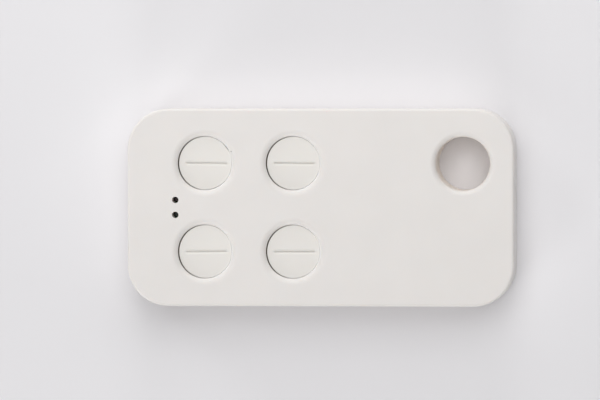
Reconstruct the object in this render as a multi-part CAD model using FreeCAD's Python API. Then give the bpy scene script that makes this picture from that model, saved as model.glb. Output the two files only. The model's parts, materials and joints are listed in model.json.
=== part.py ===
import FreeCAD, Part
import math
import os

# A keyring remote control: two plastic covers, four button caps, and the electronics between them.
# Millimetres. The origin is at the middle of the rear face, +X along the length towards the
# keyring hole, +Y towards the upper long side and +Z out of the face with the buttons.

# Outline of the case
case_length = 76.2
case_width = 38.8
case_corner_radius = 8.0
face_edge_radius = 0.5
rear_edge_radius = 0.8

# Walls of the two covers, and the joint between them
side_wall = 1.6
front_wall = 1.6
rear_wall = 1.3
parting_height = 4.0
parting_chamfer = 0.15
lip_thickness = 0.7
lip_height = 1.2
lip_clearance = 0.1

# The stack from the rear wall up to the face
clip_floor_gap = 0.3
clip_thickness = 0.25
cell_thickness = 3.2
contact_thickness = 0.2
board_thickness = 1.0
switch_height = 1.5
pusher_length = 0.35
flange_thickness = 0.75
flange_clearance = 0.05
cap_recess = 0.8

# Buttons: a square of four, measured from the left end and centred on the width
button_inset = 15.3
button_pitch = 17.4
cap_radius = 5.24
cap_gap = 0.06
cap_edge_radius = 0.12
cap_wall = 0.9
flange_width = 0.9
pusher_radius = 1.4
cap_rib_thickness = 0.6
well_rim_radius = 1.5
guide_clearance = 0.2
guide_wall = 0.8
guide_depth = 1.2
ear_width = 1.8
ear_reach = 0.6
ear_clearance = 0.25
line_length = 8.0
line_offset = 0.25
line_width = 0.3
line_floor_width = 0.2
line_depth = 0.38
line_bevel_width = 0.35
line_bevel_depth = 0.1
gate_flat_depth = 0.1
gate_flat_angle = 38.0
cap_turns = {"upper_left": -0.75, "upper_right": -0.6, "lower_left": 0.6, "lower_right": 0.2}

# How far the caps rest towards the keyring end, as a share of the least room round them
cap_rest_share = 0.65

# Indicator holes, one above the other
led_inset = 9.45
led_pitch = 2.94
led_hole_radius = 0.64
led_hole_edge = 0.08
led_shroud_wall = 0.7
led_shroud_gap = 0.3
led_length = 1.6
led_width = 0.8
led_base_height = 0.2
led_lens_length = 1.0
led_lens_height = 0.4

# Keyring hole, through both covers
ring_inset_x = 10.05
ring_inset_y = 10.75
ring_radius = 5.3
ring_front_rim = 1.1
ring_rear_rim = 0.5
ring_tube_wall = 1.4
ring_lap_thickness = 0.65
ring_lap_height = 1.0
ring_lap_clearance = 0.1

# Screws from the rear, one in each corner but the keyring's, and one on the upper side
screw_inset = 5.45
screw_radius = 0.85
screw_root_radius = 0.62
screw_pitch = 0.6
screw_tip_length = 0.7
screw_head_radius = 1.5
screw_head_height = 1.0
screw_head_edge = 0.35
screw_head_sink = 0.4
screw_head_clearance = 0.15
screw_hole_clearance = 0.15
screw_thread_clearance = 0.05
screw_grip = 2.6
screw_end_gap = 0.3
screw_slot_width = 0.32
screw_slot_length = 1.7
screw_slot_depth = 0.5
boss_wall = 1.2
post_wall = 0.75
board_hole_clearance = 0.25

# Circuit board
board_edge_clearance = 0.4
board_notch_clearance = 0.4
board_notch_radius = 1.5
support_post_radius = 1.5

# Coin cell, measured from the keyring end and the lower side, and its two contacts
cell_inset_x = 25.0
cell_inset_y = 15.0
cell_radius = 10.0
cell_cap_radius = 8.9
cell_step_height = 0.45
cell_can_edge = 0.4
cell_cap_edge = 0.2
clip_width = 6.0
clip_side_gap = 0.3
clip_foot_length = 2.0
clip_bend_radius = 0.15
contact_radius = 4.0
contact_slot_width = 0.6
contact_slot_length = 2.6
cell_rib_thickness = 0.8
cell_rib_length = 8.0
cell_rib_offset = 2.5
cell_rib_gap = 0.1

# Tactile switch under each cap
switch_size = 5.1
switch_base_height = 0.95
switch_floor = 0.3
switch_pocket_radius = 1.95
switch_cover_thickness = 0.2
switch_tab_length = 0.5
switch_tab_width = 2.4
plunger_radius = 1.15
plunger_clearance = 0.05
plunger_flange_radius = 1.65
plunger_flange_thickness = 0.13
plunger_flange_gap = 0.03
dome_radius = 1.75
dome_thickness = 0.1
dome_gap = 0.02
terminal_spread = 1.85
terminal_width = 0.6
lead_height = 0.25
lead_thickness = 0.15
lead_shoulder = 0.4
lead_foot = 0.45

# Chips and small parts on the board's upper side
chip_zone_gap = 2.0
controller_size = 5.0
controller_height = 0.85
radio_length = 5.0
radio_width = 4.4
radio_height = 1.0
radio_lead_count = 7
radio_lead_pitch = 0.65
radio_lead_width = 0.3
crystal_length = 3.2
crystal_width = 2.5
crystal_base_height = 0.5
crystal_lid_height = 0.3
crystal_lid_margin = 0.15
buffer_length = 3.5
buffer_width = 2.8
buffer_height = 1.9
buffer_foot = 0.5
small_chip_length = 1.6
small_chip_width = 0.8
small_chip_height = 0.55
small_chip_cap = 0.3
small_chip_inset = 0.03
small_chip_pitch = 1.7
capacitor_count = 5
resistor_count = 5
chip_spacing = 1.2
chip_corner = 0.12

# Stamped antenna loop, in the room between the radio chip, the board's edges and the screw boss
antenna_gap = 1.5
antenna_edge_gap = 2.5
antenna_corner = 1.5
antenna_strip = 0.8
antenna_thickness = 0.4
antenna_stand = 1.1
antenna_feed_gap = 2.0

# Reach of a cutting shape past the face that it opens, and the largest distance that counts as none
past = 1.0
tiny = 1e-6

# Heights, from the rear face up
clip_bottom = rear_wall + clip_floor_gap
cell_bottom = clip_bottom + clip_thickness
cell_top = cell_bottom + cell_thickness
board_bottom = cell_top + contact_thickness
board_top = board_bottom + board_thickness
plunger_top = board_top + switch_height
flange_bottom = plunger_top + pusher_length
flange_top = flange_bottom + flange_thickness
ceiling = flange_top + flange_clearance
face = ceiling + front_wall
front_root = ceiling + front_wall / 2
rear_root = rear_wall / 2
cap_top = face - cap_recess
screw_seat = screw_head_sink + screw_head_height
screw_tip = board_top + screw_grip
lip_top = parting_height + lip_height
switch_pocket_floor = board_top + switch_floor
switch_base_top = board_top + switch_base_height
switch_cover_top = switch_base_top + switch_cover_thickness
plunger_flange_top = switch_base_top - plunger_flange_gap
plunger_bottom = plunger_flange_top - plunger_flange_thickness
led_top = board_top + led_base_height + led_lens_height

# Places in plan
left_end = -case_length / 2
right_end = case_length / 2
upper_side = case_width / 2
lower_side = -case_width / 2
left_column = left_end + button_inset
right_column = left_column + button_pitch
upper_row = button_pitch / 2
lower_row = -button_pitch / 2
button_places = {
    "upper_left": (left_column, upper_row),
    "upper_right": (right_column, upper_row),
    "lower_left": (left_column, lower_row),
    "lower_right": (right_column, lower_row),
}
led_x = left_end + led_inset
led_places = {"red": (led_x, led_pitch / 2), "green": (led_x, -led_pitch / 2)}
ring_x = right_end - ring_inset_x
ring_y = upper_side - ring_inset_y
ring_tube_radius = ring_radius + ring_tube_wall
screw_places = (
    (left_end + screw_inset, upper_side - screw_inset),
    (left_end + screw_inset, lower_side + screw_inset),
    (right_end - screw_inset, lower_side + screw_inset),
    ((right_column + ring_x) / 2, upper_side - screw_inset),
)
cell_x = right_end - cell_inset_x
cell_y = lower_side + cell_inset_y
board_low_y = lower_side + side_wall + board_edge_clearance
board_notch_x = ring_x - ring_tube_radius - board_notch_clearance
board_notch_y = ring_y - ring_tube_radius - board_notch_clearance

# Sizes that follow from the fits
well_radius = cap_radius + cap_gap
cap_shift = cap_rest_share * min(cap_gap, guide_clearance)
flange_radius = cap_radius + flange_width
guide_radius = flange_radius + guide_clearance
pilot_radius = screw_radius + screw_thread_clearance
boss_radius = pilot_radius + boss_wall
head_hole_radius = screw_head_radius + screw_head_clearance
post_radius = head_hole_radius + post_wall
board_hole_radius = screw_radius + board_hole_clearance
first_chip_x = right_column + guide_radius + guide_wall + chip_zone_gap + controller_size / 2
second_chip_x = first_chip_x + controller_size / 2 + chip_spacing + radio_length / 2


def box(length, width, bottom, top, x=0.0, y=0.0):
    """An upright block, centred on x, y."""
    corner = FreeCAD.Vector(x - length / 2, y - width / 2, bottom)
    return Part.makeBox(length, width, top - bottom, corner)


def cylinder(radius, bottom, top, x=0.0, y=0.0):
    return Part.makeCylinder(radius, top - bottom, FreeCAD.Vector(x, y, bottom))


def is_upright(edge):
    ends = edge.Vertexes
    if len(ends) < 2:
        return False
    return abs(ends[0].X - ends[1].X) + abs(ends[0].Y - ends[1].Y) < tiny


def rounded_box(length, width, radius, bottom, top, x=0.0, y=0.0):
    """An upright block with round corners in plan."""
    block = box(length, width, bottom, top, x, y)
    return block.makeFillet(radius, [edge for edge in block.Edges if is_upright(edge)])


def edges_at(shape, height):
    return [
        edge
        for edge in shape.Edges
        if all(abs(point.Z - height) < tiny for point in edge.Vertexes)
    ]


def case_block(inset, bottom, top):
    """The case's outline drawn in by inset, between two heights."""
    return rounded_box(
        case_length - 2 * inset,
        case_width - 2 * inset,
        case_corner_radius - inset,
        bottom,
        top,
    )


def revolved(edges, x=0.0, y=0.0):
    """A solid turned about the upright axis at x, y from edges drawn as radius and height."""
    profile = Part.Face(Part.Wire(edges))
    turned = profile.revolve(FreeCAD.Vector(0, 0, 0), FreeCAD.Vector(0, 0, 1), 360)
    turned.translate(FreeCAD.Vector(x, y, 0))
    return turned


def chain(points):
    """Straight edges through points of radius and height."""
    corners = [FreeCAD.Vector(radius, 0, height) for radius, height in points]
    return [Part.LineSegment(a, b).toShape() for a, b in zip(corners, corners[1:])]


def round_edge(start, end, centre):
    """A round edge from start to end about centre, each given as radius and height."""
    middle_x = start[0] + end[0] - 2 * centre[0]
    middle_z = start[1] + end[1] - 2 * centre[1]
    reach = math.dist(start, centre) / math.hypot(middle_x, middle_z)
    middle = (centre[0] + middle_x * reach, centre[1] + middle_z * reach)
    a, b, c = [FreeCAD.Vector(radius, 0, height) for radius, height in (start, middle, end)]
    return Part.Arc(a, b, c).toShape()


def rimmed_hole(radius, rim, rim_depth, bottom, top, x, y):
    """Cuts a hole up through a face at top and rounds its edge by rim, down to rim_depth."""
    reach = math.sqrt(rim ** 2 - (rim - rim_depth) ** 2)
    wall_end = (radius, top - rim_depth)
    rim_end = (radius + reach, top)
    edges = chain([(0, top + past), (0, bottom), (radius, bottom), wall_end])
    edges.append(round_edge(wall_end, rim_end, (radius + reach, top - rim)))
    edges += chain([rim_end, (radius + reach, top + past), (0, top + past)])
    return revolved(edges, x, y)


def plate_section(points, width, y=0.0):
    """A bent sheet or other profile, drawn as x and height and width wide along Y."""
    corners = [FreeCAD.Vector(x, y - width / 2, height) for x, height in points]
    profile = Part.Face(Part.makePolygon(corners + corners[:1]))
    return profile.extrude(FreeCAD.Vector(0, width, 0))


def bent_lead(width, height, thickness, shoulder, foot):
    """A lead that leaves a package at x = 0, steps down and stands on z = 0."""
    knee = shoulder - thickness
    outline = [
        (0, height),
        (0, height + thickness),
        (shoulder, height + thickness),
        (shoulder, thickness),
        (shoulder + foot, thickness),
        (shoulder + foot, 0),
        (knee, 0),
        (knee, height),
    ]
    return plate_section(outline, width)


def placed(shape, x, y, z, turn=0.0):
    """A copy turned about the upright axis, then moved."""
    copy = shape.copy()
    copy.rotate(FreeCAD.Vector(0, 0, 0), FreeCAD.Vector(0, 0, 1), turn)
    copy.translate(FreeCAD.Vector(x, y, z))
    return copy


def front_cover():
    """The face shell, with wells, guides, bosses, light shroud and the upper half of the ring tube."""
    shell = case_block(0, parting_height, face)
    shell = shell.makeFillet(face_edge_radius, edges_at(shell, face))
    shell = shell.makeChamfer(parting_chamfer, edges_at(shell, parting_height))
    shell = shell.cut(case_block(side_wall, parting_height - past, ceiling))
    rebate_inset = side_wall - lip_thickness - lip_clearance
    shell = shell.cut(case_block(rebate_inset, parting_height - past, lip_top + lip_clearance))

    added = [cylinder(ring_tube_radius, parting_height, front_root, ring_x, ring_y)]
    ring_hole = rimmed_hole(ring_radius, ring_front_rim, ring_front_rim, 0, face, ring_x, ring_y)
    cuts = [ring_hole, front_ring_lap()]

    guide_bottom = ceiling - guide_depth
    well = rimmed_hole(well_radius, well_rim_radius, cap_recess, guide_bottom - past, face, 0, 0)
    for x, y in button_places.values():
        added.append(cylinder(guide_radius + guide_wall, guide_bottom, front_root, x, y))
        cuts.append(placed(well, x, y, 0))
        cuts.append(cylinder(guide_radius, guide_bottom - past, ceiling, x, y))
        notch_length = 2 * (guide_radius + guide_wall + past)
        notch_width = ear_width + 2 * ear_clearance
        cuts.append(box(notch_length, notch_width, guide_bottom - past, ceiling, x, y))

    for x, y in screw_places:
        added.append(cylinder(boss_radius, board_top, front_root, x, y))
        cuts.append(cylinder(pilot_radius, board_top - past, screw_tip + screw_end_gap, x, y))

    shroud_radius = led_hole_radius + led_shroud_wall
    shroud_bottom = led_top + led_shroud_gap
    added.append(box(2 * shroud_radius, led_pitch, shroud_bottom, front_root, led_x))
    pinhole = rimmed_hole(led_hole_radius, led_hole_edge, led_hole_edge, shroud_bottom - past, face, 0, 0)
    for x, y in led_places.values():
        added.append(cylinder(shroud_radius, shroud_bottom, front_root, x, y))
        cuts.append(placed(pinhole, x, y, 0))

    shell = shell.fuse(added)
    return shell.cut(cuts).removeSplitter()


def front_ring_lap():
    """Thins the lower end of the front tube, so that it drops inside the rear tube's collar."""
    lap_top = parting_height + ring_lap_height + ring_lap_clearance
    inner_radius = ring_tube_radius - ring_lap_thickness - ring_lap_clearance
    outside = cylinder(ring_tube_radius + past, parting_height - past, lap_top, ring_x, ring_y)
    return outside.cut(cylinder(inner_radius, parting_height - past, lap_top, ring_x, ring_y))


def rear_cover():
    """The rear shell, with its lip, screw posts, board supports and the lower half of the ring tube."""
    shell = case_block(0, 0, parting_height)
    shell = shell.makeFillet(rear_edge_radius, edges_at(shell, 0))
    shell = shell.makeChamfer(parting_chamfer, edges_at(shell, parting_height))
    lip = case_block(side_wall - lip_thickness, rear_wall, lip_top)
    lip = lip.makeChamfer(lip_clearance, edges_at(lip, lip_top))
    shell = shell.fuse(lip)
    shell = shell.cut(case_block(side_wall, rear_wall, lip_top + past))

    collar_top = parting_height + ring_lap_height
    lap_radius = ring_tube_radius - ring_lap_thickness
    added = [cylinder(ring_tube_radius, rear_root, collar_top, ring_x, ring_y)]
    cuts = [cylinder(lap_radius, parting_height, collar_top + past, ring_x, ring_y)]
    ring_hole = rimmed_hole(ring_radius, ring_rear_rim, ring_rear_rim, -parting_height, 0, 0, 0)
    ring_hole = ring_hole.mirror(FreeCAD.Vector(0, 0, 0), FreeCAD.Vector(0, 0, 1))
    cuts.append(placed(ring_hole, ring_x, ring_y, 0))

    for x, y in screw_places:
        added.append(cylinder(post_radius, rear_root, board_bottom, x, y))
        cuts.append(cylinder(head_hole_radius, -past, screw_seat, x, y))
        cuts.append(cylinder(screw_radius + screw_hole_clearance, 0, board_bottom + past, x, y))
    for x, y in button_places.values():
        added.append(cylinder(support_post_radius, rear_root, board_bottom, x, y))
    rib_y = clip_width / 2 + cell_rib_offset
    cell_rib_top = cell_bottom - cell_rib_gap
    for y in (cell_y - rib_y, cell_y + rib_y):
        added.append(box(cell_rib_length, cell_rib_thickness, rear_root, cell_rib_top, cell_x, y))

    shell = shell.fuse(added)
    return shell.cut(cuts).removeSplitter()


def tapered_slot(run, floor_width, top_width, floor, top):
    """Cuts a slot with round ends, centred on the origin, that widens from floor to top and on above."""
    half_run = run / 2
    half_floor = floor_width / 2
    slope = (top_width - floor_width) / 2 / (top - floor)
    above = top + past
    half_above = half_floor + slope * (above - floor)
    section = [
        FreeCAD.Vector(-half_run, -half_floor, floor),
        FreeCAD.Vector(-half_run, half_floor, floor),
        FreeCAD.Vector(-half_run, half_above, above),
        FreeCAD.Vector(-half_run, -half_above, above),
    ]
    middle = Part.Face(Part.makePolygon(section + section[:1])).extrude(FreeCAD.Vector(run, 0, 0))
    ends = [
        Part.makeCone(half_floor, half_above, above - floor, FreeCAD.Vector(x, 0, floor))
        for x in (-half_run, half_run)
    ]
    return middle.fuse(ends)


def engraved_line():
    """Cuts the line into a cap's top, a little off its middle: a slot between two shallow bevels."""
    run = line_length - line_width
    bevel_floor = cap_top - line_bevel_depth
    bevel_width = line_width + 2 * line_bevel_width
    slots = [
        tapered_slot(run, line_floor_width, line_width, cap_top - line_depth, bevel_floor),
        tapered_slot(run, line_width, bevel_width, bevel_floor, cap_top),
    ]
    return [placed(slot, line_offset, 0, 0) for slot in slots]


def button_cap(turn, has_gate_flat):
    """A cap at the origin: disc, retaining flange with two ears, hollow underside and pusher."""
    shoulder = (cap_radius - cap_edge_radius, cap_top)
    rim = (cap_radius, cap_top - cap_edge_radius)
    core_radius = cap_radius - cap_wall
    core_top = cap_top - cap_wall
    edges = chain([(0, plunger_top), (0, cap_top), shoulder])
    edges.append(round_edge(shoulder, rim, (cap_radius - cap_edge_radius, cap_top - cap_edge_radius)))
    edges += chain([
        rim,
        (cap_radius, flange_top),
        (flange_radius, flange_top),
        (flange_radius, flange_bottom),
        (core_radius, flange_bottom),
        (core_radius, core_top),
        (pusher_radius, core_top),
        (pusher_radius, plunger_top),
        (0, plunger_top),
    ])
    cap = revolved(edges)
    rib_length = 2 * (core_radius + cap_wall / 2)
    ribs = [
        box(rib_length, cap_rib_thickness, flange_bottom, core_top + cap_wall / 2),
        box(cap_rib_thickness, rib_length, flange_bottom, core_top + cap_wall / 2),
    ]
    ear = box(flange_width + ear_reach, ear_width, flange_bottom, flange_top)
    ear_x = cap_radius + (flange_width + ear_reach) / 2
    cap = cap.fuse(ribs + [placed(ear, ear_x, 0, 0), placed(ear, -ear_x, 0, 0)])
    cap = cap.cut(engraved_line())
    if has_gate_flat:
        flat = box(2 * past, 2 * cap_radius, flange_top, cap_top + past)
        flat = placed(flat, cap_radius - gate_flat_depth + past, 0, 0)
        cap = cap.cut(placed(flat, 0, 0, 0, gate_flat_angle))
    return placed(cap.removeSplitter(), 0, 0, 0, turn)


def case_screw():
    """A self-tapping screw at the origin, head down, with ridges for its thread."""
    shank = screw_tip - screw_seat
    thread_end = shank - screw_tip_length
    head_edge = (screw_head_radius - screw_head_edge, -screw_head_height)
    head_side = (screw_head_radius, -screw_head_height + screw_head_edge)
    edges = chain([(0, shank), (0, -screw_head_height), head_edge])
    edges.append(round_edge(head_edge, head_side, (head_edge[0], head_side[1])))
    points = [head_side, (screw_head_radius, 0), (screw_root_radius, 0)]
    ridge_slope = screw_pitch / 3
    for turn in range(1, int(thread_end / screw_pitch)):
        crest = turn * screw_pitch
        points += [
            (screw_root_radius, crest - ridge_slope),
            (screw_radius, crest),
            (screw_root_radius, crest + ridge_slope),
        ]
    points += [(screw_root_radius, thread_end), (0, shank)]
    screw = revolved(edges + chain(points))
    slot_top = -screw_head_height + screw_slot_depth
    slots = [
        box(screw_slot_length, screw_slot_width, -screw_head_height - past, slot_top),
        box(screw_slot_width, screw_slot_length, -screw_head_height - past, slot_top),
    ]
    return screw.cut(slots)


def circuit_board():
    """The board, cut away round the ring tube, with holes for the screws."""
    board = case_block(side_wall + board_edge_clearance, board_bottom, board_top)
    length = right_end - board_notch_x + past
    width = upper_side - board_notch_y + past
    notch = rounded_box(
        length,
        width,
        board_notch_radius,
        board_bottom - past,
        board_top + past,
        board_notch_x + length / 2,
        board_notch_y + width / 2,
    )
    holes = [
        cylinder(board_hole_radius, board_bottom - past, board_top + past, x, y)
        for x, y in screw_places
    ]
    return board.cut([notch] + holes)


def switch_base():
    base = box(switch_size, switch_size, board_top, switch_base_top)
    return base.cut(cylinder(switch_pocket_radius, switch_pocket_floor, switch_base_top + past))


def switch_cover():
    """The metal plate over the base, with a tab folded down on two sides."""
    plate = box(switch_size, switch_size, switch_base_top, switch_cover_top)
    tab_bottom = switch_base_top - switch_tab_length
    tab_y = (switch_size + switch_cover_thickness) / 2
    tabs = [
        box(switch_tab_width, switch_cover_thickness, tab_bottom, switch_cover_top, 0, y)
        for y in (-tab_y, tab_y)
    ]
    hole_radius = plunger_radius + plunger_clearance
    hole = cylinder(hole_radius, switch_base_top - past, switch_cover_top + past)
    return plate.fuse(tabs).cut(hole).removeSplitter()


def switch_plunger():
    flange = cylinder(plunger_flange_radius, plunger_bottom, plunger_flange_top)
    return flange.fuse(cylinder(plunger_radius, plunger_bottom, plunger_top)).removeSplitter()


def switch_dome():
    """A thin snap dome that stands on the floor of the switch's pocket."""
    rise = plunger_bottom - dome_gap - switch_pocket_floor
    centre_drop = (dome_radius ** 2 - rise ** 2) / (2 * rise)
    outer = centre_drop + rise
    inner = outer - dome_thickness
    centre = FreeCAD.Vector(0, 0, switch_pocket_floor - centre_drop)
    shell = Part.makeSphere(outer, centre).cut(Part.makeSphere(inner, centre))
    return shell.common(cylinder(dome_radius, switch_pocket_floor, plunger_bottom))


def switch_terminals(x, y):
    """Four leads of one switch, two on each side."""
    lead = bent_lead(terminal_width, lead_height, lead_thickness, lead_shoulder, lead_foot)
    leads = []
    for offset in (-terminal_spread, terminal_spread):
        leads.append(placed(lead, x + switch_size / 2, y + offset, board_top))
        leads.append(placed(lead, x - switch_size / 2, y + offset, board_top, 180))
    return leads


def indicator_led(x, y):
    base_top = board_top + led_base_height
    base = box(led_length, led_width, board_top, base_top, x, y)
    lens = box(led_lens_length, led_width, base_top, led_top, x, y)
    lens = lens.makeFillet(chip_corner, edges_at(lens, led_top))
    return base.fuse(lens)


def coin_cell():
    """The cell, its wide can towards the rear and its smaller cap towards the board."""
    can_top = cell_top - cell_step_height
    can_edge = (cell_radius - cell_can_edge, cell_bottom)
    can_side = (cell_radius, cell_bottom + cell_can_edge)
    crimp_side = (cell_radius, can_top - cell_can_edge)
    crimp = (cell_radius - cell_can_edge, can_top)
    cap_side = (cell_cap_radius, cell_top - cell_cap_edge)
    cap_edge = (cell_cap_radius - cell_cap_edge, cell_top)
    edges = chain([(0, cell_top), (0, cell_bottom), can_edge])
    edges.append(round_edge(can_edge, can_side, (can_edge[0], can_side[1])))
    edges += chain([can_side, crimp_side])
    edges.append(round_edge(crimp_side, crimp, (crimp[0], crimp_side[1])))
    edges += chain([crimp, (cell_cap_radius, can_top), cap_side])
    edges.append(round_edge(cap_side, cap_edge, (cap_edge[0], cap_side[1])))
    edges += chain([cap_edge, (0, cell_top)])
    return revolved(edges, cell_x, cell_y)


def battery_clip():
    """The positive contact: a strap under the cell whose legs rise to feet on the board."""
    inside = cell_radius + clip_side_gap
    outside = inside + clip_thickness
    tip = inside + clip_foot_length
    foot_bottom = board_bottom - clip_thickness
    half = [
        (outside, clip_bottom),
        (outside, foot_bottom),
        (tip, foot_bottom),
        (tip, board_bottom),
        (inside, board_bottom),
        (inside, cell_bottom),
    ]
    mirrored = [(-x, height) for x, height in reversed(half)]
    clip = plate_section(half + mirrored, clip_width)
    inner_bends = [(inside, cell_bottom), (outside, foot_bottom)]
    outer_bends = [(outside, clip_bottom), (inside, board_bottom)]
    clip = clip.makeFillet(clip_bend_radius, bends(clip, inner_bends))
    clip = clip.makeFillet(clip_bend_radius + clip_thickness, bends(clip, outer_bends))
    return placed(clip, cell_x, cell_y, 0)


def bends(shape, places):
    """The edges across a bent sheet at the given distances from its middle and heights."""
    found = []
    for edge in shape.Edges:
        start = edge.Vertexes[0]
        end = edge.Vertexes[-1]
        runs_across = abs(start.X - end.X) + abs(start.Z - end.Z) < tiny
        for x, height in places:
            if runs_across and abs(abs(start.X) - x) + abs(start.Z - height) < tiny:
                found.append(edge)
    return found


def battery_contact():
    """The negative contact: a disc between the cell's cap and the board, slotted to spring."""
    disc = cylinder(contact_radius, cell_top, board_bottom)
    slot_x = contact_radius - contact_slot_length / 2 + past / 2
    slot = box(contact_slot_length + past, contact_slot_width, cell_top - past, board_bottom + past)
    slot = placed(slot, slot_x, 0, 0)
    slots = [placed(slot, 0, 0, 0, angle) for angle in (90, 210, 330)]
    return placed(disc.cut(slots), cell_x, cell_y, 0)


def rounded_chip(length, width, bottom, top, x, y):
    chip = rounded_box(length, width, chip_corner, bottom, top, x, y)
    return chip.makeChamfer(chip_corner / 2, edges_at(chip, top))


def radio_chip(x, y):
    """A chip with a row of leads along each long side."""
    body_bottom = board_top + lead_thickness
    chip = rounded_chip(radio_length, radio_width, body_bottom, body_bottom + radio_height, x, y)
    lead = bent_lead(radio_lead_width, lead_height, lead_thickness, lead_shoulder, lead_foot)
    leads = []
    for number in range(radio_lead_count):
        lead_x = x + (number - (radio_lead_count - 1) / 2) * radio_lead_pitch
        leads.append(placed(lead, lead_x, y + radio_width / 2, board_top, 90))
        leads.append(placed(lead, lead_x, y - radio_width / 2, board_top, -90))
    return chip.fuse(leads)


def radio_crystal(x, y):
    base_top = board_top + crystal_base_height
    base = box(crystal_length, crystal_width, board_top, base_top, x, y)
    lid_length = crystal_length - 2 * crystal_lid_margin
    lid_width = crystal_width - 2 * crystal_lid_margin
    lid_top = base_top + crystal_lid_height
    return base.fuse(rounded_chip(lid_length, lid_width, base_top, lid_top, x, y))


def buffer_capacitor(x, y):
    """A moulded capacitor that stands on a foot under each end."""
    body_bottom = board_top + lead_thickness
    top = board_top + buffer_height
    body = rounded_chip(buffer_length, buffer_width, body_bottom, top, x, y)
    foot_x = (buffer_length - buffer_foot) / 2
    feet = [
        box(buffer_foot, buffer_width - 2 * chip_corner, board_top, body_bottom, x + side * foot_x, y)
        for side in (-1, 1)
    ]
    return body.fuse(feet)


def small_chips(count, x, y):
    """A row of small parts along Y, each a body with a metal cap on both ends."""
    chips = []
    for number in range(count):
        row_y = y + (number - (count - 1) / 2) * small_chip_pitch
        top = board_top + small_chip_height
        body = box(
            small_chip_length - small_chip_cap,
            small_chip_width - 2 * small_chip_inset,
            board_top,
            top - small_chip_inset,
            x,
            row_y,
        )
        cap_x = (small_chip_length - small_chip_cap) / 2
        caps = [
            box(small_chip_cap, small_chip_width, board_top, top, x + side * cap_x, row_y)
            for side in (-1, 1)
        ]
        chips.append(body.fuse(caps).removeSplitter())
    return chips


def antenna_loop():
    """A stamped loop on three legs, open at its feed."""
    left = second_chip_x + radio_length / 2 + antenna_gap
    right = right_end - screw_inset - boss_radius - antenna_gap
    low = board_low_y + antenna_edge_gap
    high = board_notch_y - antenna_gap
    length = right - left
    width = high - low
    x = (left + right) / 2
    y = (low + high) / 2
    bottom = board_top + antenna_stand
    top = bottom + antenna_thickness
    loop = rounded_box(length, width, antenna_corner, bottom, top, x, y)
    inside = rounded_box(
        length - 2 * antenna_strip,
        width - 2 * antenna_strip,
        antenna_corner - antenna_strip,
        bottom - past,
        top + past,
        x,
        y,
    )
    loop = loop.cut(inside)
    feed_x = left + antenna_strip / 2
    loop = loop.cut(box(2 * antenna_strip, antenna_feed_gap, bottom - past, top + past, feed_x, y))
    leg_y = (antenna_feed_gap + antenna_strip) / 2
    legs = [
        box(antenna_strip, antenna_strip, board_top, top, feed_x, y - leg_y),
        box(antenna_strip, antenna_strip, board_top, top, feed_x, y + leg_y),
        box(antenna_strip, antenna_strip, board_top, top, 2 * x - feed_x, y),
    ]
    return loop.fuse(legs).removeSplitter()


def board_parts():
    """The chips and small parts, in two columns beside the right buttons."""
    controller_top = board_top + controller_height
    crystal_y = -(controller_size + crystal_width) / 2 - chip_spacing
    radio_y = -(buffer_width + radio_width) / 2 - lead_shoulder - lead_foot - chip_spacing
    capacitor_reach = small_chip_pitch * (capacitor_count - 1) + small_chip_width
    capacitor_y = (buffer_width + capacitor_reach) / 2 + chip_spacing
    resistor_reach = small_chip_pitch * (resistor_count - 1) + small_chip_width
    resistor_y = crystal_y - (crystal_width + resistor_reach) / 2 - chip_spacing
    return {
        "microcontroller": [
            rounded_chip(controller_size, controller_size, board_top, controller_top, first_chip_x, 0)
        ],
        "radio_crystal": [radio_crystal(first_chip_x, crystal_y)],
        "radio_chip": [radio_chip(second_chip_x, radio_y)],
        "buffer_capacitor": [buffer_capacitor(second_chip_x, 0)],
        "chip_capacitors": small_chips(capacitor_count, second_chip_x, capacitor_y),
        "chip_resistors": small_chips(resistor_count, first_chip_x, resistor_y),
    }


def all_nodes():
    """Every node's name and its solids."""
    nodes = {
        "front_cover": [front_cover()],
        "rear_cover": [rear_cover()],
        "circuit_board": [circuit_board()],
        "coin_cell": [coin_cell()],
        "battery_clip": [battery_clip()],
        "battery_contact": [battery_contact()],
        "antenna_loop": [antenna_loop()],
        "switch_terminals": [],
    }
    nodes.update(board_parts())
    screw = case_screw()
    nodes["case_screws"] = [placed(screw, x, y, screw_seat) for x, y in screw_places]
    switch_pieces = {
        "base": switch_base(),
        "cover": switch_cover(),
        "plunger": switch_plunger(),
        "dome": switch_dome(),
    }
    for place, (x, y) in button_places.items():
        cap = button_cap(cap_turns[place], place == "upper_left")
        nodes["button_" + place] = [placed(cap, x + cap_shift, y, 0)]
        for piece, shape in switch_pieces.items():
            nodes["switch_" + piece + "_" + place] = [placed(shape, x, y, 0)]
        nodes["switch_terminals"] += switch_terminals(x, y)
    for colour, (x, y) in led_places.items():
        nodes["indicator_led_" + colour] = [indicator_led(x, y)]
    return nodes


os.makedirs("parts", exist_ok=True)
for name, solids in all_nodes().items():
    shape = solids[0] if len(solids) == 1 else Part.makeCompound(solids)
    shape.exportStep(os.path.join("parts", name + ".step"))
    print(name, len(shape.Solids), round(shape.Volume, 3), shape.isValid())
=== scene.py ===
import bpy
import json
import math
from mathutils import Matrix, Vector

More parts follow.
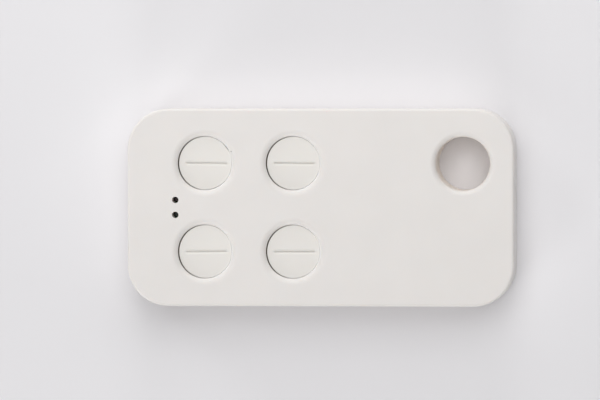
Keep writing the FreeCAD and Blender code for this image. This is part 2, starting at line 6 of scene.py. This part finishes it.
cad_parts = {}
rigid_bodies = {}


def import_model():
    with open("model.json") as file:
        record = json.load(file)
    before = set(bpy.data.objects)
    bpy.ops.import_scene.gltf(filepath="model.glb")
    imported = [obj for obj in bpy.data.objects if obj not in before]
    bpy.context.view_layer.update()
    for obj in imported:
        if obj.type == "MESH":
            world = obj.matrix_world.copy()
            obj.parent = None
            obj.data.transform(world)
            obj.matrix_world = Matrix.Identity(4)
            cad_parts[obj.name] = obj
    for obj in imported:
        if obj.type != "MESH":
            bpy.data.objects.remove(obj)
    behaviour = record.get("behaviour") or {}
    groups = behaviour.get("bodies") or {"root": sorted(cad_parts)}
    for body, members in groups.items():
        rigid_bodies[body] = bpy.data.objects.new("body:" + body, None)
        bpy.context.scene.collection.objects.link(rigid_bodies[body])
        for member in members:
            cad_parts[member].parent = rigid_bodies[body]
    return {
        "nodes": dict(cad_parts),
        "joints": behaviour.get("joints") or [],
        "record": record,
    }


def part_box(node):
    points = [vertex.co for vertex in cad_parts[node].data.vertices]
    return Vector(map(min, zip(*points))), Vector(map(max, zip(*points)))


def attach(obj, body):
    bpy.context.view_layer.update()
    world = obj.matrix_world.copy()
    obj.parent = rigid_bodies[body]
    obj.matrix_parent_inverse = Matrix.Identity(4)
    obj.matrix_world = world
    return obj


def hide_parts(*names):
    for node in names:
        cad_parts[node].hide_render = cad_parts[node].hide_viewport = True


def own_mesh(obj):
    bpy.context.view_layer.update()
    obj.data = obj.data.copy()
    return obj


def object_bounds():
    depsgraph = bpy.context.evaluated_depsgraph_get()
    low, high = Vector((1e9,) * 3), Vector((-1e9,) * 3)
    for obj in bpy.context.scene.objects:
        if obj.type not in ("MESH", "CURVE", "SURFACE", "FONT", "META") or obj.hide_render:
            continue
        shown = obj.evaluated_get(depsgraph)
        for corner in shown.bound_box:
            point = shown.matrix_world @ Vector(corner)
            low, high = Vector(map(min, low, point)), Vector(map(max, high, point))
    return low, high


# A keyring remote control, lying face up on a pale table. Metres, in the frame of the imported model.

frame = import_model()
cad_low, cad_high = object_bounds()

mm = 0.001

# The camera stands far above the remote, a little towards its keyring end and its upper side
aim_x = -3.98 * mm
aim_y = 1.51 * mm
face_height = cad_high.z
camera_distance = 1.3
camera_lean_right = math.radians(5.26)
camera_lean_up = math.radians(1.7)
camera_roll = math.radians(-0.06)
camera_lens = 397.0
camera_sensor_width = 36.0
camera_clip_start = 0.1
camera_clip_end = 30.0

# The world's light, and how bright it looks to the camera and in reflections: like the lit table top
world_strength = 0.02
world_shown_strength = 0.78
world_colour = (1.0, 1.0, 1.0)

# The table top's round outline
floor_radius = 9.0
floor_sides = 96

# Colours, as linear red, green and blue
cover_colour = (0.755, 0.727, 0.705)
cap_colour = (0.76, 0.735, 0.70)
floor_colour = (0.795, 0.783, 0.80)
board_green = (0.012, 0.10, 0.035)
board_track_green = (0.03, 0.17, 0.06)
nickel = (0.62, 0.60, 0.56)
steel = (0.56, 0.56, 0.57)
tin = (0.68, 0.68, 0.67)
zinc = (0.55, 0.56, 0.58)
gold = (0.83, 0.62, 0.27)
mould_black = (0.018, 0.018, 0.02)
resin_orange = (0.62, 0.26, 0.03)
ceramic_tan = (0.42, 0.29, 0.17)
ceramic_black = (0.03, 0.03, 0.035)
plunger_cream = (0.60, 0.55, 0.45)
lens_red = (0.05, 0.010, 0.008)
lens_green = (0.010, 0.026, 0.012)
lens_base = (0.55, 0.54, 0.50)

# Moulded plastic: how far light travels in it, and the size of the spark-eroded grain of its mould
plastic_depth = 0.5 * mm
plastic_depth_tint = (1.0, 0.85, 0.72)
plastic_depth_share = 0.3
grain_size = 0.22 * mm
cover_grain_depth = 0.006 * mm
cap_grain_depth = 0.004 * mm
cover_roughness = 0.5
cap_roughness = 0.44
plastic_gloss_change = 0.06

# Painted light: the plastic's colour runs from a little darker to a little lighter along a slanting line,
# as the light falls across it, with a faint random mottle
plastic_painted_light_slant = -0.35
plastic_painted_light_reach = 33.0 * mm
plastic_painted_light_and_mottle_change = 0.04
mottle_size = 9.0 * mm
mottle_share = 0.15

# The gap round each cap: painted shade in its open side on the left, and painted light on its edges on the
# right
painted_gap_shade_colour = (0.12, 0.098, 0.075)
painted_gap_light_colour = (0.88, 0.862, 0.845)
gap_inside = 5.22 * mm
gap_outside = 5.38 * mm
gap_fade = 0.08 * mm
gap_slant = 0.12

# A speck of grime where the first cap's gate was cut off, from the middle of the cap
speck_x = 5.15 * mm
speck_y = 2.3 * mm
speck_radius = 0.14 * mm
speck_blur = 0.4
speck_colour = (0.42, 0.40, 0.38)

# The wall of the keyring hole, painted lighter and warmer than the face as painted bounce light; the tone
# sets in between two depths under it
painted_bore_glow_colour = (0.88, 0.815, 0.755)
bore_rim = 1.0 * mm
bore_fade_top = 0.3 * mm
bore_fade_bottom = 1.5 * mm

# The table top's colour runs from painted shade to painted light along a slanting line, as the light falls
# off across it
table_painted_light_slant = 0.15
table_painted_light_start = -25.0 * mm
table_painted_light_end = 40.0 * mm
table_painted_shade = 0.975
table_painted_light = 1.05
table_cloud_size = 45.0 * mm
table_cloud_share = 0.06
table_roughness = 0.9
table_shine = 0.2
table_grain_size = 0.35 * mm
table_grain_depth = 0.01 * mm

# Parts of the small components that are metal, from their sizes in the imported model
lead_reach = 0.85 * mm
chip_cap_length = 0.3 * mm
foot_height = 0.15 * mm
crystal_base_height = 0.5 * mm
lens_base_height = 0.2 * mm

# Most of a noise lies between these two values, and finer noise has more detail in it
noise_low = 0.3
noise_high = 0.7
fine_detail = 3.0
fine_roughness = 0.6
stain_detail = 4.0

# Bands lie this far apart in a wave texture whose scale is 1
wave_spacing = 0.314

# Rolled strip: its lines, drawn out along the rolling, and its duller patches
rolled_line_width = 0.03 * mm
rolled_line_stretch = 30.0
rolled_patch_size = 1.5 * mm
rolled_dark = 0.9
rolled_light = 1.05
rolled_gloss_less = 0.08
rolled_gloss_more = 0.12

# Plated and tumbled metal: its grain and its small stains
plated_grain_size = 0.08 * mm
plated_stain_size = 0.9 * mm
plated_stain_from = 0.45
plated_stain_to = 0.75
plated_stain_shade = 0.78
plated_gloss_less = 0.07
plated_gloss_more = 0.1
metal_grain_depth = 0.002 * mm

# The small pieces inside: moulded bodies, bare metal ends and tinted lenses
small_grain_size = 0.06 * mm
small_grain_depth = 0.003 * mm
small_dark = 0.85
small_light = 1.12
small_gloss_change = 0.08
part_grain_size = 0.07 * mm
part_grain_depth = 0.002 * mm
bare_metal_dark = 0.88
lens_roughness = 0.35
lens_haze_size = 0.2 * mm
lens_light = 1.15
lens_gloss_low = 0.3
lens_gloss_high = 0.4

# The board: a glass weave under the solder mask, with raised tracks
board_roughness = 0.35
board_weave_size = 0.5 * mm
board_weave_wobble = 0.3
board_weave_light = 1.3
board_weave_height = 0.2
board_track_spacing = 2.2 * mm
board_track_edge_from = 0.05
board_track_edge_to = 0.09
board_track_height = 0.02 * mm
board_patch_size = 1.2 * mm
board_gloss_low = 0.28
board_gloss_high = 0.42


def camera():
    """A long lens that looks almost straight down on the face."""
    aim = Vector((aim_x, aim_y, face_height))
    back = Vector((math.tan(camera_lean_right), math.tan(camera_lean_up), 1.0)).normalized()
    up = Vector((0, 1, 0))
    up = (up - back * up.dot(back)).normalized()
    right = up.cross(back)
    rolled_right = right * math.cos(camera_roll) + up * math.sin(camera_roll)
    rolled_up = up * math.cos(camera_roll) - right * math.sin(camera_roll)
    data = bpy.data.cameras.new("camera")
    data.lens = camera_lens
    data.sensor_width = camera_sensor_width
    data.clip_start = camera_clip_start
    data.clip_end = camera_clip_end
    seen_from = bpy.data.objects.new("camera", data)
    turn = Matrix((rolled_right, rolled_up, back)).transposed()
    seen_from.matrix_world = Matrix.Translation(aim + back * camera_distance) @ turn.to_4x4()
    bpy.context.scene.collection.objects.link(seen_from)
    bpy.context.scene.camera = seen_from


def sun(name, azimuth, elevation, spread, strength):
    """A soft lamp in the direction of azimuth, from +X towards +Y, and elevation, in degrees."""
    data = bpy.data.lights.new(name, "SUN")
    data.energy = strength
    data.angle = math.radians(spread)
    lamp = bpy.data.objects.new(name, data)
    a = math.radians(azimuth)
    e = math.radians(elevation)
    towards = Vector((math.cos(a) * math.cos(e), math.sin(a) * math.cos(e), math.sin(e)))
    lamp.rotation_mode = "QUATERNION"
    lamp.rotation_quaternion = towards.to_track_quat("Z", "Y")
    bpy.context.scene.collection.objects.link(lamp)


def world():
    """Hardly any light, but as bright as the lit table top to the camera and in reflections."""
    made = bpy.data.worlds.new("world")
    made.use_nodes = True
    tree = made.node_tree
    background = tree.nodes["Background"]
    background.inputs["Color"].default_value = (*world_colour, 1.0)
    path = tree.nodes.new("ShaderNodeLightPath")
    shown = path.outputs["Is Camera Ray"]
    for ray in ("Is Glossy Ray", "Is Transmission Ray"):
        either = tree.nodes.new("ShaderNodeMath")
        either.operation = "MAXIMUM"
        tree.links.new(shown, either.inputs[0])
        tree.links.new(path.outputs[ray], either.inputs[1])
        shown = either.outputs["Value"]
    strength = tree.nodes.new("ShaderNodeMapRange")
    strength.inputs["To Min"].default_value = world_strength
    strength.inputs["To Max"].default_value = world_shown_strength
    tree.links.new(shown, strength.inputs["Value"])
    tree.links.new(strength.outputs["Result"], background.inputs["Strength"])
    bpy.context.scene.world = made


class Look:
    """A material under construction: its nodes, its shader and the place on the piece."""

    def __init__(self, name, colour, roughness, metallic=0.0):
        self.material = bpy.data.materials.new(name)
        self.material.use_nodes = True
        self.tree = self.material.node_tree
        self.shader = self.tree.nodes["Principled BSDF"]
        self.put("Base Color", (*colour, 1.0))
        self.put("Roughness", roughness)
        self.put("Metallic", metallic)
        self.place = self.node("ShaderNodeTexCoord").outputs["Object"]

    def node(self, kind):
        """A new node of the material."""
        return self.tree.nodes.new(kind)

    def put(self, socket, value):
        """Sets a value on the shader, or links an output to it."""
        if isinstance(value, bpy.types.NodeSocket):
            self.tree.links.new(value, self.shader.inputs[socket])
        else:
            self.shader.inputs[socket].default_value = value

    def noise(self, size, detail=2.0, roughness=0.5, stretch=(1.0, 1.0, 1.0)):
        """Cloudy noise whose lumps are about size across, drawn out along an axis by stretch."""
        made = self.node("ShaderNodeTexNoise")
        made.inputs["Scale"].default_value = 1.0
        made.inputs["Detail"].default_value = detail
        made.inputs["Roughness"].default_value = roughness
        scaled = self.node("ShaderNodeMapping")
        scaled.inputs["Scale"].default_value = [1.0 / (size * s) for s in stretch]
        self.tree.links.new(self.place, scaled.inputs["Vector"])
        self.tree.links.new(scaled.outputs["Vector"], made.inputs["Vector"])
        return made.outputs["Fac"]

    def from_cell_edges(self, size):
        """How far a place lies from the edge of its cell, with cells about size across."""
        made = self.node("ShaderNodeTexVoronoi")
        made.feature = "DISTANCE_TO_EDGE"
        made.inputs["Scale"].default_value = 1.0 / size
        self.tree.links.new(self.place, made.inputs["Vector"])
        return made.outputs["Distance"]

    def waves(self, size, axis, distortion):
        """Bands size apart, across the given axis."""
        made = self.node("ShaderNodeTexWave")
        made.bands_direction = axis
        made.inputs["Scale"].default_value = wave_spacing / size
        made.inputs["Distortion"].default_value = distortion
        self.tree.links.new(self.place, made.inputs["Vector"])
        return made.outputs["Fac"]

    def ranged(self, value, low, high, from_low=noise_low, from_high=noise_high):
        """Carries value from one range to another, without going past its ends."""
        made = self.node("ShaderNodeMapRange")
        made.inputs["From Min"].default_value = from_low
        made.inputs["From Max"].default_value = from_high
        made.inputs["To Min"].default_value = low
        made.inputs["To Max"].default_value = high
        self.tree.links.new(value, made.inputs["Value"])
        return made.outputs["Result"]

    def wrapped(self, value, low, high):
        """Brings value back into the range from low to high, as on a pattern that repeats."""
        return self.math("WRAP", value, high, low)

    def length(self, a, b):
        """The length of the slanting side over a and b."""
        return self.math("SQRT", self.math("ADD", self.math("MULTIPLY", a, a), self.math("MULTIPLY", b, b)))

    def math(self, operation, a, b=None, c=None):
        """The result of one operation on up to three values or outputs."""
        made = self.node("ShaderNodeMath")
        made.operation = operation
        for socket, value in zip(made.inputs, (a, b, c)):
            if isinstance(value, bpy.types.NodeSocket):
                self.tree.links.new(value, socket)
            elif value is not None:
                socket.default_value = value
        return made.outputs[0]

    def blend(self, factor, first, second):
        """A colour between first and second; each is a colour or an output."""
        made = self.node("ShaderNodeMix")
        made.data_type = "RGBA"
        self.tree.links.new(factor, made.inputs[0])
        for socket, value in ((made.inputs[6], first), (made.inputs[7], second)):
            if isinstance(value, bpy.types.NodeSocket):
                self.tree.links.new(value, socket)
            else:
                socket.default_value = (*value, 1.0)
        return made.outputs[2]

    def mottled(self, value, dark, light):
        """A colour that runs from dark to light with a noise."""
        return self.blend(self.ranged(value, 0.0, 1.0), dark, light)

    def bump(self, height, depth):
        """Raises the surface by height times depth."""
        made = self.node("ShaderNodeBump")
        made.inputs["Distance"].default_value = depth
        made.inputs["Strength"].default_value = 1.0
        self.tree.links.new(height, made.inputs["Height"])
        self.put("Normal", made.outputs["Normal"])

    def axis(self, name):
        """The place's X, Y or Z."""
        made = self.node("ShaderNodeSeparateXYZ")
        self.tree.links.new(self.place, made.inputs["Vector"])
        return made.outputs[name]


def shaded(colour, share):
    """A colour made darker or lighter."""
    return tuple(part * share for part in colour)


def cap_pitch():
    """How far apart the caps stand, the same along X and along Y."""
    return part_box("button_upper_right")[0].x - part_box("button_upper_left")[0].x


def from_cap(look, repeats):
    """How far a place lies from the middle of the upper left cap, or of the nearest one, along X and Y."""
    low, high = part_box("button_upper_left")
    pitch = cap_pitch()
    offsets = []
    for axis, middle in zip("XY", (low + high) / 2):
        place = look.axis(axis)
        if repeats:
            place = look.wrapped(place, middle - pitch / 2, middle + pitch / 2)
        offsets.append(look.math("SUBTRACT", place, middle))
    return offsets


def by_caps(look):
    """Marks the part of the face that holds the two columns of caps."""
    low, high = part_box("button_upper_left")
    pitch = cap_pitch()
    from_columns = look.math("SUBTRACT", look.axis("X"), (low.x + high.x + pitch) / 2)
    return look.math("LESS_THAN", look.math("ABSOLUTE", from_columns), pitch)


def cap_gap(side):
    """Marks the gap round each cap on one side, for painted shade on the left (-1) and painted light on the
    right (1).
    """

    def mask(look):
        across, up = from_cap(look, True)
        distance = look.length(across, up)
        towards = look.math("SUBTRACT", across, look.math("MULTIPLY", up, gap_slant))
        on_side = look.ranged(towards, 0.0, 1.0, 0.0, side * gap_inside)
        past_cap = look.ranged(distance, 0.0, 1.0, gap_inside - gap_fade, gap_inside)
        before_rim = look.ranged(distance, 1.0, 0.0, gap_outside, gap_outside + gap_fade)
        in_gap = look.math("MULTIPLY", look.math("MULTIPLY", past_cap, before_rim), by_caps(look))
        return look.math("MULTIPLY", on_side, in_gap)

    return mask


def gate_speck(look):
    """Marks a speck beside the cut gate of the upper left cap."""
    across, up = from_cap(look, False)
    distance = look.length(look.math("SUBTRACT", across, speck_x), look.math("SUBTRACT", up, speck_y))
    inside = (1.0 - speck_blur) * speck_radius
    outside = (1.0 + speck_blur) * speck_radius
    return look.ranged(distance, 1.0, 0.0, inside, outside)


def bore_wall(look):
    """Marks the wall of the keyring hole, where painted bounce light makes it lighter and warmer than the
    face.
    """
    hole = next(mount for mount in frame["record"]["mounts"] if mount["name"] == "keyring_hole")
    hole_x, hole_y, _ = hole["pos_m"]
    distance = look.length(
        look.math("SUBTRACT", look.axis("X"), hole_x), look.math("SUBTRACT", look.axis("Y"), hole_y)
    )
    near = look.math("LESS_THAN", distance, hole["dims"]["r_mm"] * mm + bore_rim)
    bottom = face_height - bore_fade_bottom
    deep = look.ranged(look.axis("Z"), 1.0, 0.0, bottom, face_height - bore_fade_top)
    return look.math("MULTIPLY", near, deep)


def painted_light_slope(look, slant, start, end, lump_size, lump_share):
    """A painted light slope: runs from 0 at start to 1 at end, along a line that leans from Y by slant,
    with clouds of random tone in it.
    """
    along = look.math("ADD", look.axis("Y"), look.math("MULTIPLY", look.axis("X"), slant))
    clouds = look.ranged(look.noise(lump_size, fine_detail), -lump_share, lump_share)
    return look.math("ADD", look.ranged(along, 0.0, 1.0, start, end), clouds)


def moulded_plastic(name, colour, roughness, grain_depth, stains):
    """Off-white moulded plastic: light sinks in a little, over the fine grain of a spark-eroded mould."""
    look = Look(name, colour, roughness)
    # Painted light: the colour runs from a darker to a lighter copy along a slope, with a faint random
    # mottle over it
    reach = plastic_painted_light_reach
    place = painted_light_slope(look, plastic_painted_light_slant, -reach, reach, mottle_size, mottle_share)
    dark = shaded(colour, 1.0 - plastic_painted_light_and_mottle_change)
    tone = look.blend(place, dark, shaded(colour, 1.0 + plastic_painted_light_and_mottle_change))
    # Marks laid over the colour: the real gate speck, and painted shade and painted light in the cap gaps
    # and on the keyring hole's wall
    for mask_of, stain_and_painted_light in stains:
        tone = look.blend(mask_of(look), tone, stain_and_painted_light)
    look.put("Base Color", tone)
    grain = look.noise(grain_size, fine_detail, fine_roughness)
    change = plastic_gloss_change
    look.put("Roughness", look.ranged(grain, roughness - change, roughness + change))
    look.bump(grain, grain_depth)
    look.put("Subsurface Weight", plastic_depth_share)
    look.put("Subsurface Scale", plastic_depth)
    look.put("Subsurface Radius", plastic_depth_tint)
    return look.material


def sheet_metal(name, colour, roughness, along="X"):
    """Rolled strip: fine lines along one axis, with duller patches."""
    look = Look(name, colour, roughness, 1.0)
    stretch = [rolled_line_stretch if axis == along else 1.0 for axis in "XYZ"]
    lines = look.noise(rolled_line_width, stretch=stretch)
    patches = look.noise(rolled_patch_size, fine_detail)
    look.put("Base Color", look.mottled(patches, shaded(colour, rolled_dark), shaded(colour, rolled_light)))
    gloss = look.ranged(lines, roughness - rolled_gloss_less, roughness + rolled_gloss_more)
    look.put("Roughness", gloss)
    look.bump(lines, metal_grain_depth)
    return look.material


def plated_steel(name, colour, roughness):
    """Plated and tumbled metal: an even fine grain with small stains."""
    look = Look(name, colour, roughness, 1.0)
    grain = look.noise(plated_grain_size, fine_detail, fine_roughness)
    clouds = look.noise(plated_stain_size, stain_detail, fine_roughness)
    stains = look.ranged(clouds, 0.0, 1.0, plated_stain_from, plated_stain_to)
    look.put("Base Color", look.blend(stains, colour, shaded(colour, plated_stain_shade)))
    gloss = look.ranged(grain, roughness - plated_gloss_less, roughness + plated_gloss_more)
    look.put("Roughness", gloss)
    look.bump(grain, metal_grain_depth)
    return look.material


def small_plastic(name, colour, roughness):
    """Moulded plastic of the small pieces inside."""
    look = Look(name, colour, roughness)
    grain = look.noise(small_grain_size, fine_detail, fine_roughness)
    look.put("Base Color", look.mottled(grain, shaded(colour, small_dark), shaded(colour, small_light)))
    change = small_gloss_change
    look.put("Roughness", look.ranged(grain, roughness - change, roughness + change))
    look.bump(grain, small_grain_depth)
    return look.material


def board_laminate():
    """Solder mask over glass weave, with slightly raised tracks."""
    look = Look("board_laminate_look", board_green, board_roughness)
    threads = [look.waves(board_weave_size, axis, board_weave_wobble) for axis in "XY"]
    weave = look.math("MULTIPLY", *threads)
    edges = look.from_cell_edges(board_track_spacing)
    tracks = look.ranged(edges, 1.0, 0.0, board_track_edge_from, board_track_edge_to)
    threaded = look.ranged(weave, 0.0, 1.0, 0.0, 1.0)
    tint = look.blend(threaded, board_green, shaded(board_green, board_weave_light))
    look.put("Base Color", look.blend(tracks, tint, board_track_green))
    look.put("Roughness", look.ranged(look.noise(board_patch_size), board_gloss_low, board_gloss_high))
    relief = look.math("ADD", tracks, look.math("MULTIPLY", weave, board_weave_height))
    look.bump(relief, board_track_height)
    return look.material


def with_metal(name, colour, metal, mask_of, roughness):
    """A small part whose body is one colour and whose ends, feet, leads or lid are bare metal."""
    look = Look(name, colour, roughness)
    mask = mask_of(look)
    grain = look.noise(part_grain_size, fine_detail, fine_roughness)
    body = look.mottled(grain, shaded(colour, small_dark), shaded(colour, small_light))
    ends = look.mottled(grain, shaded(metal, bare_metal_dark), metal)
    look.put("Base Color", look.blend(mask, body, ends))
    look.put("Metallic", mask)
    change = small_gloss_change
    look.put("Roughness", look.ranged(grain, roughness - change, roughness + change))
    look.bump(grain, part_grain_depth)
    return look.material


def beyond(axis, node, depth):
    """Marks the places within depth of either end of a node's box along an axis."""
    low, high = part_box(node)
    index = "XYZ".index(axis)
    middle = (low[index] + high[index]) / 2
    reach = (high[index] - low[index]) / 2 - depth

    def mask(look):
        offset = look.math("SUBTRACT", look.axis(axis), middle)
        return look.math("GREATER_THAN", look.math("ABSOLUTE", offset), reach)

    return mask


def under(node, height):
    """Marks the places up to height over a node's lowest point."""
    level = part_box(node)[0][2] + height
    return lambda look: look.math("LESS_THAN", look.axis("Z"), level)


def over(node, height):
    """Marks the places from height over a node's lowest point up."""
    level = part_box(node)[0][2] + height
    return lambda look: look.math("GREATER_THAN", look.axis("Z"), level)


def indicator_lens(name, node, colour):
    """A clear tinted lens on a pale base."""
    look = Look(name, colour, lens_roughness)
    base = under(node, lens_base_height)(look)
    haze = look.noise(lens_haze_size)
    tint = look.mottled(haze, shaded(colour, small_dark), shaded(colour, lens_light))
    look.put("Base Color", look.blend(base, tint, lens_base))
    look.put("Roughness", look.ranged(haze, lens_gloss_low, lens_gloss_high))
    return look.material


def table_top():
    """Smooth pale card, with a hardly visible grain, painted darker and lighter along a slope as painted
    light.
    """
    look = Look("table_top_look", floor_colour, table_roughness)
    start = table_painted_light_start
    end = table_painted_light_end
    # Painted light: the table's colour runs from a painted shade copy to a painted light copy along the
    # slope, with random clouds
    place = painted_light_slope(look, table_painted_light_slant, start, end, table_cloud_size, table_cloud_share)
    dark = shaded(floor_colour, table_painted_shade)
    look.put("Base Color", look.blend(place, dark, shaded(floor_colour, table_painted_light)))
    look.bump(look.noise(table_grain_size), table_grain_depth)
    look.put("Specular IOR Level", table_shine)
    return look.material


def floor():
    """The table top."""
    mesh = bpy.data.meshes.new("floor")
    angles = [2 * math.pi * n / floor_sides for n in range(floor_sides)]
    rim = [(floor_radius * math.cos(a), floor_radius * math.sin(a), 0) for a in angles]
    mesh.from_pydata(rim, [], [list(range(floor_sides))])
    table = bpy.data.objects.new("floor", mesh)
    mesh.materials.append(table_top())
    bpy.context.scene.collection.objects.link(table)


def looks():
    """Every node's material, by the start of its name."""
    black_plastic = small_plastic("switch_plastic_look", mould_black, roughness=0.5)
    # The first two marks are painted shade on the left of each cap's gap and painted light on its right
    # edges; the speck is a real mark; the last is painted bounce light on the keyring hole's wall
    gap_shade = (cap_gap(-1), painted_gap_shade_colour)
    gap_light = (cap_gap(1), painted_gap_light_colour)
    speck = (gate_speck, speck_colour)
    bore_glow = (bore_wall, painted_bore_glow_colour)
    return {
        "front_cover": moulded_plastic(
            "cover_plastic_look",
            cover_colour,
            cover_roughness,
            cover_grain_depth,
            [gap_shade, gap_light, speck, bore_glow],
        ),
        "rear_cover": moulded_plastic(
            "rear_plastic_look", cover_colour, cover_roughness, cover_grain_depth, [bore_glow]
        ),
        "button_": moulded_plastic(
            "cap_plastic_look", cap_colour, cap_roughness, cap_grain_depth, [gap_shade, gap_light]
        ),
        "circuit_board": board_laminate(),
        "coin_cell": sheet_metal("cell_steel_look", nickel, roughness=0.25),
        "battery_clip": sheet_metal("clip_steel_look", nickel, roughness=0.3),
        "battery_contact": plated_steel("contact_brass_look", gold, roughness=0.28),
        "antenna_loop": sheet_metal("antenna_metal_look", tin, roughness=0.32, along="Y"),
        "switch_terminals": plated_steel("terminal_metal_look", tin, roughness=0.3),
        "switch_base_": black_plastic,
        "switch_cover_": sheet_metal("switch_steel_look", steel, roughness=0.28, along="Y"),
        "switch_dome_": plated_steel("dome_steel_look", steel, roughness=0.2),
        "switch_plunger_": small_plastic("plunger_plastic_look", plunger_cream, roughness=0.45),
        "microcontroller": small_plastic("chip_plastic_look", mould_black, roughness=0.55),
        "radio_chip": with_metal(
            "radio_chip_look", mould_black, tin, beyond("Y", "radio_chip", lead_reach), roughness=0.5
        ),
        "radio_crystal": with_metal(
            "crystal_look", ceramic_black, nickel, over("radio_crystal", crystal_base_height), roughness=0.4
        ),
        "buffer_capacitor": with_metal(
            "capacitor_resin_look", resin_orange, tin, under("buffer_capacitor", foot_height), roughness=0.4
        ),
        "chip_capacitors": with_metal(
            "capacitor_ceramic_look",
            ceramic_tan,
            tin,
            beyond("X", "chip_capacitors", chip_cap_length),
            roughness=0.5,
        ),
        "chip_resistors": with_metal(
            "resistor_ceramic_look",
            ceramic_black,
            tin,
            beyond("X", "chip_resistors", chip_cap_length),
            roughness=0.5,
        ),
        "case_screws": plated_steel("screw_steel_look", zinc, roughness=0.32),
        "indicator_led_red": indicator_lens("led_red_look", "indicator_led_red", lens_red),
        "indicator_led_green": indicator_lens("led_green_look", "indicator_led_green", lens_green),
    }


def dress():
    """Gives every node its material."""
    made = looks()
    for name, node in frame["nodes"].items():
        start = next(start for start in made if name.startswith(start))
        for place in node.material_slots:
            place.material = made[start]


def snap_dome(joint):
    """The dome under one switch's plunger, copied onto the body that the plunger's joint hangs from, in
    place of the imported one.
    """
    place = joint["name"].removeprefix("plunger_")
    node = frame["nodes"]["switch_dome_" + place]
    dome = bpy.data.objects.new("snap_dome_" + place, node.data.copy())
    bpy.context.scene.collection.objects.link(dome)
    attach(dome, joint["parent"])
    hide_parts(node.name)
    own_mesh(dome)


camera()
world()
floor()
dress()
for joint in frame["joints"]:
    if joint["name"].startswith("plunger_"):
        snap_dome(joint)
sun("overhead", azimuth=90, elevation=88, spread=60, strength=1.13)
sun("high_north", azimuth=90, elevation=60, spread=40, strength=0.67)
sun("north", azimuth=90, elevation=35, spread=40, strength=0.47)
sun("north_east", azimuth=45, elevation=35, spread=40, strength=0.45)
sun("south_west", azimuth=225, elevation=35, spread=40, strength=0.35)
sun("low_north", azimuth=90, elevation=12, spread=20, strength=0.44)
sun("low_north_west", azimuth=135, elevation=12, spread=20, strength=0.61)
sun("low_south_west", azimuth=225, elevation=12, spread=20, strength=0.63)
sun("low_south", azimuth=270, elevation=12, spread=20, strength=0.92)

bpy.context.scene.view_settings.view_transform = "Standard"
